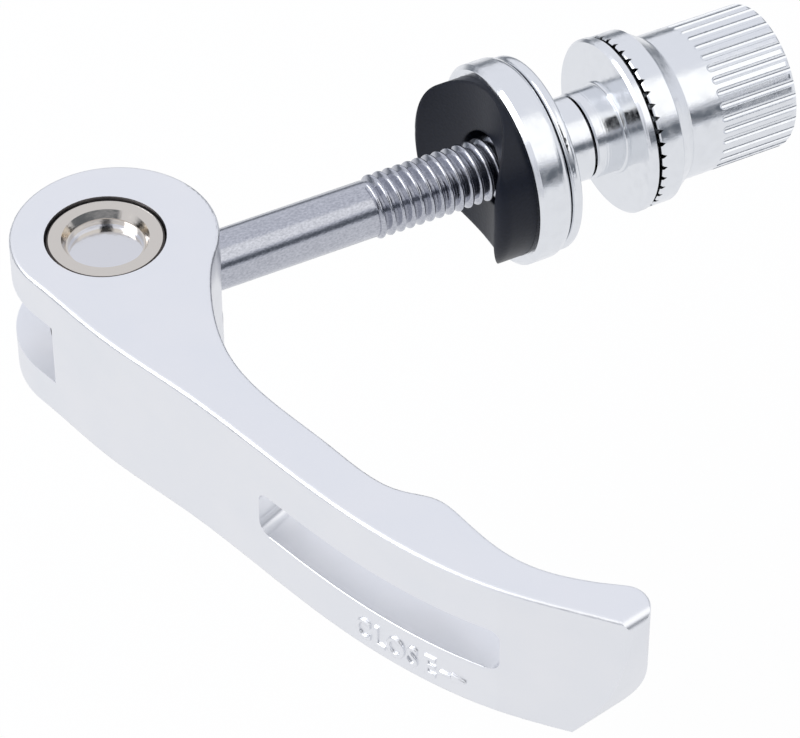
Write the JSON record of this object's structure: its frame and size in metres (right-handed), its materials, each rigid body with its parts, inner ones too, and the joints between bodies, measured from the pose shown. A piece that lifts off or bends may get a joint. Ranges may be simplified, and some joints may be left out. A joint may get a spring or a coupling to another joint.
{
  "type": "quick release seatpost clamp",
  "caption": "Quick-release clamp bolt for a bicycle seat collar: forked cam lever on a cross pin, threaded rod, saddle pad in a cup washer, flanged bushes and a fluted thumb nut.",
  "frame": {"origin": "on the rod's axis, midway between the two faces that grip the seat collar", "axes": "+X along the rod towards the nut, +Z along the lever's pivot pin, the closed lever towards -Y"},
  "size_m": [0.0753, 0.0709, 0.0192],
  "materials": {
    "zinc_steel": "zinc-plated steel",
    "nickel_steel": "nickel-plated steel",
    "lever_aluminium": "bright silver anodised",
    "turned_aluminium": "turned and polished",
    "black_plastic": "matte moulded"
  },
  "bodies": {
    "skewer": {"rod": "zinc_steel", "pivot_pin": "nickel_steel"},
    "cam_lever": {"lever": "lever_aluminium"},
    "cam_stack": {"saddle_pad": "black_plastic", "cup_washer": "turned_aluminium", "cam_side_bush": "turned_aluminium"},
    "nut_carrier": {"nut_side_bush": "turned_aluminium"},
    "nut": {"adjusting_nut": "turned_aluminium"}
  },
  "joints": [
    {"name": "lever_pivot", "type": "hinge", "parent": "skewer", "child": "cam_lever", "pos_m": [-0.04656, 0, 0], "axis": [0, 0, -1], "range_deg": [0, 180]},
    {"name": "stack_slide", "type": "slide", "parent": "skewer", "child": "cam_stack", "axis": [1, 0, 0], "range_m": [-0.0265, 0]},
    {"name": "nut_travel", "type": "slide", "parent": "skewer", "child": "nut_carrier", "axis": [1, 0, 0], "range_m": [0, 0.006]},
    {"name": "nut_turn", "type": "hinge", "parent": "nut_carrier", "child": "nut", "pos_m": [0.0127, 0, 0], "axis": [1, 0, 0], "range_deg": [0, 2160]}
  ],
  "couplings": [
    {"joint": "nut_travel", "follows": "nut_turn", "m_per_rad": 0.00015915}
  ]
}
